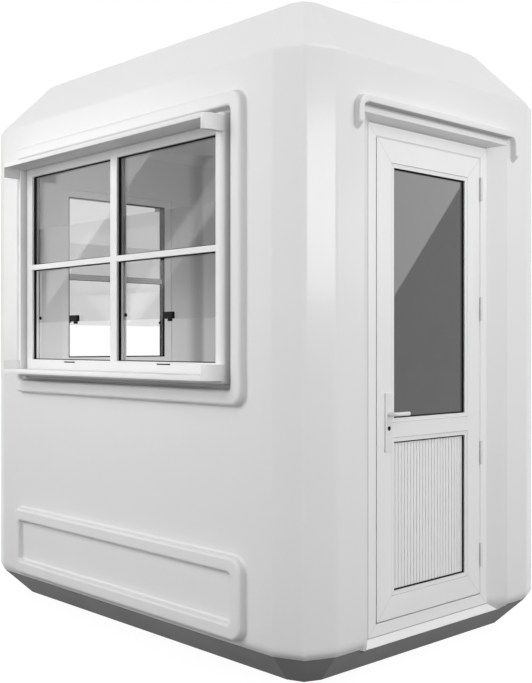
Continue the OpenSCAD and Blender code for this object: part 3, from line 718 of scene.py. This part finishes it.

# %% [markdown]
# ## Drain slots
#
# Rain that gets past the panes leaves each window through a slot in the bottom rail. A black strip
# lies a few millimetres inside each slot: it is painted shade, standing for the shade in the slot.

# %% Black strips of painted shade in the slots
SLOT_Z, SLOT_L, SLOT_H, SLOT_Y = 1116.0, 88.0, 5.0, -9.0
STRIP_D = 5  # depth of a strip
slot_shades = []
for side, middles in BAYS.items():
    # each strip is painted shade inside a slot
    ends = [[(m + s * SLOT_L / 2, SLOT_Y, SLOT_Z) for s in (-1, 1)] for m in middles]
    strips = [strip(a, b, (0, 0, 1), SLOT_H, STRIP_D) for a, b in ends]
    parts = [(on_side(side, v), f) for v, f in strips]
    slot_shades.append(piece(f"{side}_window_drain_shades", "booth", parts))

# %% [markdown]
# ## Shader maths
#
# A finish is arithmetic on positions: noise, masks and mixes. Writing each Math node by hand
# hides that, so a small class wraps a socket, and the usual operators add the nodes.


# %% A socket that does arithmetic
class Shade:
    """A node tree being written. val() makes any node, and the operators on its results make
    Math nodes."""

    def __init__(self, name):
        self.mat = bpy.data.materials.new(name)
        self.mat.use_nodes = True
        self.tree = self.mat.node_tree
        self.bsdf = self.tree.nodes["Principled BSDF"]

    def feed(self, socket, value):
        """Links a computed value to a socket, or writes a constant on it."""
        if isinstance(value, Val):
            self.tree.links.new(value.socket, socket)
        else:
            socket.default_value = value

    def node(self, kind, settings=None, **inputs):
        """A node of any kind. An input is named as on the node, or i0, i1 ... by its number."""
        n = self.tree.nodes.new(kind)
        for key, value in (settings or {}).items():
            setattr(n, key, value)
        for key, value in inputs.items():
            by_number = key[0] == "i" and key[1:].isdigit()
            self.feed(n.inputs[int(key[1:]) if by_number else key.replace("_", " ")], value)
        return n

    def val(self, kind, settings=None, out=0, **inputs):
        return Val(self, self.node(kind, settings, **inputs).outputs[out])

    def place(self):
        """Position on the piece in metres, which is Object coordinates: every piece sits at
        the origin, so they are the booth's own coordinates."""
        return self.val("ShaderNodeTexCoord", out="Object")

    def xyz(self, vector):
        n = self.node("ShaderNodeSeparateXYZ", Vector=vector)
        return [Val(self, n.outputs[k]) for k in range(3)]

    def noise(self, vector, scale, detail):
        inputs = {"Vector": vector, "Scale": scale, "Detail": detail, "Roughness": 0.55}
        return self.val("ShaderNodeTexNoise", out="Fac", **inputs)

    def mix(self, factor, a, b):
        """Mixes two colours. On the Mix node these are inputs 6 and 7, and output 2."""
        n = self.node("ShaderNodeMix", {"data_type": "RGBA"}, i0=factor, i6=a, i7=b)
        return Val(self, n.outputs[2])

    def bump(self, height, strength, distance):
        inputs = {"Height": height, "Strength": strength, "Distance": distance}
        return self.val("ShaderNodeBump", out="Normal", **inputs)

    def set(self, **inputs):
        """Sets inputs of the Principled node, with _ for each space in their names."""
        for key, value in inputs.items():
            self.feed(self.bsdf.inputs[key.replace("_", " ")], value)


class Val:
    """A number on the surface. +, - and * with a number or another value add a Math node."""

    def __init__(self, shade, socket):
        self.shade, self.socket = shade, socket

    def math(self, operation, *others):
        inputs = {f"i{k}": v for k, v in enumerate((self, *others))}
        return self.shade.val("ShaderNodeMath", {"operation": operation}, **inputs)

    def __add__(self, o):
        return self.math("ADD", o)

    def __mul__(self, o):
        return self.math("MULTIPLY", o)

    def __sub__(self, o):
        return self.math("SUBTRACT", o)

    def abs(self):
        return self.math("ABSOLUTE")

    def ramp(self, low, high, to_low=0.0, to_high=1.0):
        """A smooth step from to_low at low to to_high at high, held flat outside."""
        settings = {"interpolation_type": "SMOOTHSTEP"}
        ends = {"From_Min": low, "From_Max": high, "To_Min": to_low, "To_Max": to_high}
        return self.shade.val("ShaderNodeMapRange", settings, Value=self, **ends)


def srgb(value, tint=(1, 1, 1)):
    """A grey from 0 to 255 as seen on screen, as linear colour, with a slight tint."""
    c = value / 255
    c = c / 12.92 if c <= 0.04045 else ((c + 0.055) / 1.055) ** 2.4
    return (c * tint[0], c * tint[1], c * tint[2], 1)


print("grey 128 in linear light:", round(srgb(128)[0], 3))

# %% [markdown]
# ## Gel coat
#
# The shell is polyester with a smooth white gel coat. Under the gloss the mould leaves a faint
# ripple, the tone drifts by about one part in a hundred, and rain leaves a little dust low down.
# Shade is painted into the colour where the shell lies in shade: in the gap round each window
# surround, in the crevice under the rain bead, in the room's back corners and on the curl at the
# foot. Each such place is a mask on the position, in metres, that is 1 in the place and 0 away
# from it.

# %% Where shade is painted
# the grey of the painted shade
PAINTED_SHADE_GREY = srgb(110)
WIN_MID = (WIN_Z0 + WIN_H / 2) * MM  # middle of a window surround, then its half height
WIN_HALF_Z = (WIN_H / 2 + POST_W) * MM
SIDE_HALF, BACK_HALF = ((OPENING[side] / 2 + POST_W) * MM for side in ("left", "back"))
print("surrounds", 2 * SIDE_HALF, "and", 2 * BACK_HALF, "m long,", 2 * WIN_HALF_Z, "m high")


def off_wall(x, y):
    """How far a point stands out from the left, right or back wall, in metres."""
    return (x.abs() - WALL_X).math("MAXIMUM", y - WALL_Y)


def shade_beside_windows(x, y, z):
    """Painted shade: 1 in the narrow gap round a window surround, falling to 0 up the slope of the
    bead ring.
    """
    over = (z - WIN_MID).abs() - WIN_HALF_Z
    side_gap = (y.abs() - SIDE_HALF).math("MAXIMUM", over).ramp(0.006, 0.030, 1.0, 0.0)
    back_gap = (x.abs() - BACK_HALF).math("MAXIMUM", over).ramp(0.006, 0.030, 1.0, 0.0)
    on_sides = x.abs().ramp(WALL_X - 0.004, WALL_X - 0.002)
    on_back = y.ramp(WALL_Y - 0.004, WALL_Y - 0.002)
    return side_gap * on_sides + back_gap * on_back


def shade_under_rain(x, y, z):
    """Painted shade: 1 in the crevice under the straight run of the rain bead, 0 elsewhere."""
    foot_z, face_z = (RAIN_Z - RAIN_FOOT) * MM, (RAIN_Z - RAIN_FACE) * MM
    line = z.ramp(foot_z - 0.010, foot_z - 0.004) * z.ramp(face_z, face_z + 0.003, 1.0, 0.0)
    leg_x = (RAIN_X - RAIN_FOOT) * MM
    run = x.abs().ramp(leg_x - 0.030, leg_x - 0.015, 1.0, 0.0)
    return line * run * y.ramp(0.002 - WALL_Y, 0.004 - WALL_Y, 1.0, 0.0)


def room_corner_shade(x, y):
    """Painted shade: 1 in the room beside the joint of the back wall and each corner moulding."""
    band = x.abs().ramp(0.45, 0.54) * x.abs().ramp(0.56, 0.60, 1.0, 0.0)
    return band * y.ramp(0.90, 0.95) * y.ramp(1.050, 1.055, 1.0, 0.0)


# %% White gel coat
gel = Shade("gel_coat")
p = gel.place()
x, y, z = gel.xyz(p)
drift = gel.noise(p, 2.2, 2.0)
grain = gel.noise(p, 260.0, 2.0)
ripple = gel.noise(p, 34.0, 1.5)
dust = z.ramp(0.10, 0.45, 1.0, 0.0) * gel.noise(p, 9.0, 4.0).ramp(0.35, 0.75)
tone = (drift - 0.5) * 0.6 + (grain - 0.5) * 0.12 + 0.5
colour = gel.mix(tone, srgb(226, (1.0, 1.003, 1.0)), srgb(232, (1.0, 1.0, 0.998)))
colour = gel.mix(dust * 0.05, colour, srgb(176, (1.0, 0.99, 0.97)))
# painted shade on the curl at the foot of the walls, which faces down
foot = z.ramp(0.118, 0.160, 1.0, 0.0)
colour = gel.mix(foot * 0.4, colour, srgb(120))
# painted shade in the gap round each window surround
colour = gel.mix(shade_beside_windows(x, y, z) * 0.5, colour, PAINTED_SHADE_GREY)
# painted shade under the rain bead and in the room's back corners
colour = gel.mix(shade_under_rain(x, y, z) * 0.5 + room_corner_shade(x, y) * 0.5, colour, PAINTED_SHADE_GREY)
gel.set(Base_Color=colour, Roughness=(grain - 0.5) * 0.06 + dust * 0.12 + 0.34)
gel.set(Normal=gel.bump(ripple + grain * 0.12, 0.06, 0.002))
gel.set(Coat_Weight=0.25, Coat_Roughness=0.12, IOR=1.5)
print("gel coat nodes:", len(gel.tree.nodes))

# %% [markdown]
# ## Extruded white plastic
#
# Door and window profiles are smooth white plastic, welded at 45 degrees. The weld is trimmed
# by a blade and leaves a hairline, which is drawn as a thin mask where two runs meet.

# %% Frame plastic with mitre lines
LINE = 0.0007  # width of a weld line in metres


def frame_plastic(name, corners=(), joints=(), wall_shade=0.0):
    """White plastic. Each corner is (x, z, sx, sz, size): a hairline runs from (x, z) by size
    along the diagonal (sx, sz), drawn where the distance to that line is small. Each joint is
    (axis, at, low, high, width): a line at that x or z, from low to high. The last argument
    is painted shade: how much darker the plastic gets in the corner next to the wall."""
    s = Shade(name)
    p = s.place()
    x, y, z = s.xyz(p)
    grain = s.noise(p, 320.0, 2.0)
    drift = s.noise(p, 3.0, 2.0)
    colour = s.mix((drift - 0.5) * 0.5 + 0.5, srgb(231), srgb(236, (0.998, 1.0, 1.0)))
    lines = []
    for at_x, at_z, sx, sz, size in corners:
        du = (x - at_x) * sx
        dv = (z - at_z) * sz
        on = (du - dv).abs().ramp(LINE * 0.6, LINE * 1.6, 1.0, 0.0)
        lines.append(on * (du.ramp(-0.0015, 0.0) * du.ramp(size, size + 0.0015, 1.0, 0.0)))
    for axis, at, low, high, width in joints:
        across, along = (x, z) if axis == "x" else (z, x)
        on = (across - at).abs().ramp(width * 0.3, width * 0.7, 1.0, 0.0)
        lines.append(on * along.ramp(low - 0.001, low) * along.ramp(high, high + 0.001, 1.0, 0.0))
    if lines:
        mask = lines[0]
        for line in lines[1:]:
            mask = mask.math("MAXIMUM", line)
        colour = s.mix(mask * 0.55, colour, srgb(120))
    # painted shade on a surround post, darker in the corner next to the wall
    if wall_shade:
        colour = s.mix(off_wall(x, y).ramp(0.010, 0.042, wall_shade, 0.0), colour, PAINTED_SHADE_GREY)
    s.set(Base_Color=colour, Roughness=(grain - 0.5) * 0.05 + 0.3)
    s.set(Normal=s.bump(grain, 0.03, 0.0008), Coat_Weight=0.15, Coat_Roughness=0.15)
    print(name, "lines:", len(lines))
    return s


def four_corners(half, low, high, size):
    """The diagonals of a rectangle's four corners, each running inwards."""
    ends = ((sx, sz) for sx in (-1, 1) for sz in (-1, 1))
    return [(sx * half, high if sz < 0 else low, -sx, sz, size) for sx, sz in ends]


def outline(half, low, high, width):
    """Three sides of a rectangle centred on x = 0: lever side, foot and head. The joint on the
    hinge side is closed and doesn't show."""
    level = [("z", z, -half, half, width) for z in (low, high)]
    return [("x", -half, low, high, width), *level]


# %% White plastic for frames, leaf, door frame and surrounds
LEAF = (0.322, LEAF_LOW * MM, LEAF_HIGH * MM)  # half width, foot and head in metres
FRAME = (DOOR_HALF * MM, WALL_Z0 * MM, DOOR_TOP * MM)
JOINT = 0.002  # width of the line round a glazing bead
panel_low, panel_high, pane_low, pane_high = BEAD_Z.values()
# the line round each glazing bead marks its joint with the leaf, drawn dark as painted shade in
# that step
bead_lines = outline(BEAD_X, panel_low, panel_high, JOINT)
bead_lines += outline(BEAD_X, pane_low, pane_high, JOINT)
half, low, high = FRAME
frame_lines = outline(half - JOINT, low + JOINT, high - JOINT, 2 * JOINT)
plain_frame = frame_plastic("frame_plastic")
leaf_plastic = frame_plastic("leaf_plastic", four_corners(*LEAF, 0.1), bead_lines)
door_frame_plastic = frame_plastic("door_frame_plastic", four_corners(*FRAME, 0.047), frame_lines)
# the surrounds get painted shade next to the wall
surround_plastic = frame_plastic("surround_plastic", wall_shade=0.4)

# %% [markdown]
# ## Glass
#
# The windows are clear float glass with a slight grey tint: most light passes, and the surface
# adds its reflection. The door has dark privacy glass that hides the room. Both are made with
# Alpha, so that the glass stays thin and free of noise. A pane has two faces, so (1 - alpha)^2
# of the light gets through it.


# %% Two kinds of glass
def glass(name, grey, alpha, rough, index):
    """Coated glass: alpha is the share of light that one face stops, in the colour grey, and a
    high index of refraction gives the strong reflection of double panes."""
    s = Shade(name)
    p = s.place()
    waves = s.noise(p, 5.0, 1.0)
    smear = s.noise(p, 14.0, 3.0)
    s.set(Base_Color=s.mix(smear, srgb(grey - 3), srgb(grey + 3)), Alpha=alpha)
    s.set(Roughness=smear * 0.01 + rough, IOR=index)
    s.set(Normal=s.bump(waves, 0.0012, 0.002))
    s.mat.surface_render_method = "BLENDED"
    print(name, "lets through", round((1 - alpha) ** 2, 3))
    return s


window_glass = glass("window_glass", 62, 0.155, 0.008, 2.6)
door_glass = glass("door_glass", 88, 0.97, 0.012, 1.5)

# %% [markdown]
# ## Rubber, base, floor and fittings
#
# Rubber is black and dull. The base pan has the fine stipple of a sprayed coat; its dark grey is
# painted shade, darker still towards the ground. The floor sheet is speckled, and the fittings
# have smooth white enamel.


# %% Remaining finishes
def simple(name, a, b, rough, scale, bump, distance, coat=0.0, low_tone=None):
    """A two-tone finish: fine noise mixes tones a and b, and lifts the surface a little. With
    low_tone, it turns to that grey towards the ground, as painted shade."""
    s = Shade(name)
    p = s.place()
    fine = s.noise(p, scale, 3.0)
    broad = s.noise(p, 4.0, 3.0)
    colour = s.mix(fine.ramp(0.35, 0.65) * 0.6 + broad * 0.4, srgb(a), srgb(b))
    if low_tone is not None:
        colour = s.mix(s.xyz(p)[2].ramp(0.0, 0.11, 0.75, 0.0), colour, srgb(low_tone))
    s.set(Base_Color=colour)
    s.set(Roughness=(broad - 0.5) * 0.12 + rough, Coat_Weight=coat)
    s.set(Normal=s.bump(fine, bump, distance))
    print(name, "tones", a, "to", b)
    return s


rubber = simple("rubber", 10, 18, 0.7, 420.0, 0.10, 0.0005)
rubber.set(Specular_IOR_Level=0.2)
# the base's dark grey, and its darker tone near the ground, are painted shade
base_painted_shade = simple("base_painted_shade", 61, 72, 0.55, 520.0, 0.18, 0.0006, low_tone=36)
floor_sheet = simple("floor_sheet", 128, 150, 0.6, 700.0, 0.10, 0.0005)
enamel = simple("enamel", 222, 230, 0.3, 300.0, 0.03, 0.0004, coat=0.3)

# %% Give every piece its finish
FINISH = {
    "frame": plain_frame,
    "hardware": enamel,
    "glass": window_glass,
    "rubber": rubber,
    "base": base_painted_shade,
    "floor": floor_sheet,
    "shell": gel,
}
MADE = [(gel, shell_pieces), (plain_frame, [door_seal, threshold]), (rubber, slot_shades + rubbers)]
for finish, made in MADE:
    for obj in made:
        obj.data.materials.append(finish.mat)
slot_of = {s["node"]: s["material_slot"] for s in frame["record"]["subparts"]}
special = {"door_leaf": leaf_plastic, "door_frame": door_frame_plastic, "door_glass": door_glass}
special.update({f"{side}_window_surround": surround_plastic for side in OUTSIDE})
for name, obj in nodes.items():
    shade = special.get(name, FINISH[slot_of[name]])
    for target in filter(None, (obj, soft.get(name))):
        target.data.materials.clear()
        target.data.materials.append(shade.mat)
print("finishes in use:", len({*FINISH.values(), *special.values()}))

# %% [markdown]
# ## Floor, light and camera
#
# The booth stands on a pale floor in an even studio. Large soft lamps stand in for the sky. The
# floor and the background look white to the camera, but give little light back, so that the
# base stays dark as under a real overhang.


# %% Floor
FLOOR_HALF, FLOOR_WHITE = 30.0, 0.94
floor_mesh = bpy.data.meshes.new("studio_floor")
floor_corners = [(sx * FLOOR_HALF, sy * FLOOR_HALF, 0.0) for sx, sy in CORNERS]
floor_mesh.from_pydata(floor_corners, [], [(0, 1, 2, 3)])
floor = bpy.data.objects.new("studio_floor", floor_mesh)
bpy.context.scene.collection.objects.link(floor)
floor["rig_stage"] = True
fl = Shade("studio_floor")
fl.set(Base_Color=srgb(80), Roughness=0.9)
RAYS = ("Is Camera Ray", "Is Glossy Ray", "Is Transmission Ray")
light_path = fl.node("ShaderNodeLightPath")
camera_ray, glossy_ray, through_ray = (Val(fl, light_path.outputs[ray]) for ray in RAYS)
shows = camera_ray.math("MAXIMUM", glossy_ray).math("MAXIMUM", through_ray)
fl.set(Emission_Color=fl.mix(shows, (0, 0, 0, 1), (*[FLOOR_WHITE] * 3, 1)), Emission_Strength=1.0)
floor_mesh.materials.append(fl.mat)
print("floor", 2 * FLOOR_HALF, "m wide, nodes:", len(fl.tree.nodes))

# %% World
DIM, BRIGHT = 0.1, 1.0  # background strength for the light it gives, and for rays that see it
world = bpy.data.worlds.new("studio")
bpy.context.scene.world = world
world.use_nodes = True
wt = world.node_tree
background = wt.nodes["Background"]
background.inputs["Color"].default_value = (1, 1, 1, 1)
path_node = wt.nodes.new("ShaderNodeLightPath")
seen = path_node.outputs[RAYS[0]]
for ray in RAYS[1:]:
    either = wt.nodes.new("ShaderNodeMath")
    either.operation = "MAXIMUM"
    wt.links.new(seen, either.inputs[0])
    wt.links.new(path_node.outputs[ray], either.inputs[1])
    seen = either.outputs[0]
level = wt.nodes.new("ShaderNodeMapRange")
level.inputs["To Min"].default_value = DIM
level.inputs["To Max"].default_value = BRIGHT
wt.links.new(seen, level.inputs["Value"])
wt.links.new(level.outputs[0], background.inputs["Strength"])
print("world nodes:", len(wt.nodes))


# %% Lamps and cards
def lamp(name, azimuth, elevation, size, power, mirrored=False, distance=7.0, aim=(0.0, 0.0, 1.2)):
    """A square soft lamp that faces the point aim from azimuth and elevation in degrees, where
    azimuth 0 is in front of the door wall and 90 is in front of the left wall. Only where
    mirrored is True do glossy surfaces show the lamp as a white shape."""
    data = bpy.data.lights.new(name, "AREA")
    data.shape, data.size, data.energy = "SQUARE", size, power
    obj = bpy.data.objects.new(name, data)
    a, e = math.radians(azimuth), math.radians(elevation)
    away = Vector((-math.sin(a) * math.cos(e), -math.cos(a) * math.cos(e), math.sin(e)))
    obj.location = Vector(aim) + away * distance
    obj.rotation_euler = (-away).to_track_quat("-Z", "Y").to_euler()
    obj.visible_glossy = mirrored
    obj.visible_camera = False
    bpy.context.scene.collection.objects.link(obj)
    return obj


def card(name, centre, along, across, length, width, power):
    """A rectangular lamp that glass mirrors as a slanting shape: its middle, the directions of
    its long and short sides, and their lengths. It faces against along x across, and only
    reflections show it."""
    obj = lamp(name, 0, 0, 1.0, power, True)
    along, across = Vector(along).normalized(), Vector(across).normalized()
    obj.data.shape, obj.data.size, obj.data.size_y = "RECTANGLE", length, width
    obj.location = centre
    obj.rotation_euler = Matrix((along, across, along.cross(across))).transposed().to_euler()
    obj.visible_diffuse = False
    return obj


# %% Lamps round the booth
# name, azimuth, elevation, size, watts, then whether it is mirrored, its distance and its aim
LAMPS = [
    ("front", 0, 12, 1.6, 75),
    ("front_right", -20, 40, 3.0, 121, True),
    ("front_high", -20, 65, 3.0, 28, True),
    ("corner_low", 40, 10, 3.0, 83),
    ("left_low", 90, 12, 3.0, 52),
    ("left_back", 105, 30, 3.0, 175),
    ("right", -95, 20, 3.2, 75),
    ("back_right", -150, 20, 3.2, 170),
    ("front_near", -10, 5, 1.0, 22, False, 3.2, (0.0, -1.09, 0.9)),
    ("left_near", 95, 12, 1.2, 14, False, 2.8, (-0.75, 0.1, 1.2)),
    ("left_near_high", 90, 35, 1.6, 8, False, 3.2, (-0.75, 0.0, 1.6)),
]
for entry in LAMPS:
    lamp(*entry)
print("lamps round the booth:", len(LAMPS), "with", sum(entry[4] for entry in LAMPS), "W")

# %% Cards that the glass mirrors
# Each pane shows a slanting light shape, the mirrored edge of a card beside the booth. One more
# card brightens the upper half of the cut corner beside the door. It hangs lower than the roof,
# so that the flat top doesn't mirror it.
# name, middle, directions of the long and short sides, their lengths, watts
door_tilt, door_across = (0.676, 0.0, 0.737), (-0.737, 0.0, 0.676)
wall_tilt, wall_across = (-0.417, -0.393, 0.820), (0.597, 0.562, 0.573)
CARDS = [
    ("door_card", (4.718, -5.0, 2.674), door_tilt, door_across, 2.6, 1.2, 24),
    ("window_card", (-3.096, 4.406, 2.485), wall_tilt, wall_across, 2.945, 0.982, 17),
    ("window_strip", (-3.875, 3.673, 1.996), wall_tilt, wall_across, 2.678, 0.171, 1.6),
    ("corner_card", (-0.60, -3.07, 1.95), (0, 0, 1), (-1, 0, 0), 1.0, 0.5, 9),
]
for entry in CARDS:
    card(*entry)
print("cards:", len(CARDS))

# %% Lamps inside the room
# Soft lights stand in for daylight that bounces off the floor and the walls of the cabin.
ROOM_LAMPS = [
    ("room_floor", 0, 90, 0.9, 7, False, 0.4, (-0.1, 0.1, 1.2)),
    ("room_back", 0, 0, 0.6, 2.1, False, 1.1, (-0.25, 1.04, 0.8)),
    ("room_high", 0, 0, 0.5, 1.2, False, 1.1, (-0.25, 1.04, 1.9)),
]
for entry in ROOM_LAMPS:
    lamp(*entry)
print("lamps in the room:", len(ROOM_LAMPS))

# %% Camera
# It stands at eye height before the corner and looks level, at 43 degrees to the side walls. The
# lens and the shift come from the vanishing lines of the booth's edges.
camera_data = bpy.data.cameras.new("camera")
camera = bpy.data.objects.new("camera", camera_data)
bpy.context.scene.collection.objects.link(camera)
bpy.context.scene.camera = camera
camera.location = (-3.1454, -3.4472, 1.1953)
camera.rotation_euler = (math.radians(90), 0, math.radians(-43.27))
camera_data.lens = 53.15
camera_data.sensor_width = 36
camera_data.shift_y = 0.0044
bpy.context.scene.view_settings.view_transform = "Standard"
print("camera at", [round(v, 2) for v in camera.location])

# %% Print the two corners of the dressed box
low, high = (list(v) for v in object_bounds())
print("dressed box", [round(v, 4) for v in low + high])
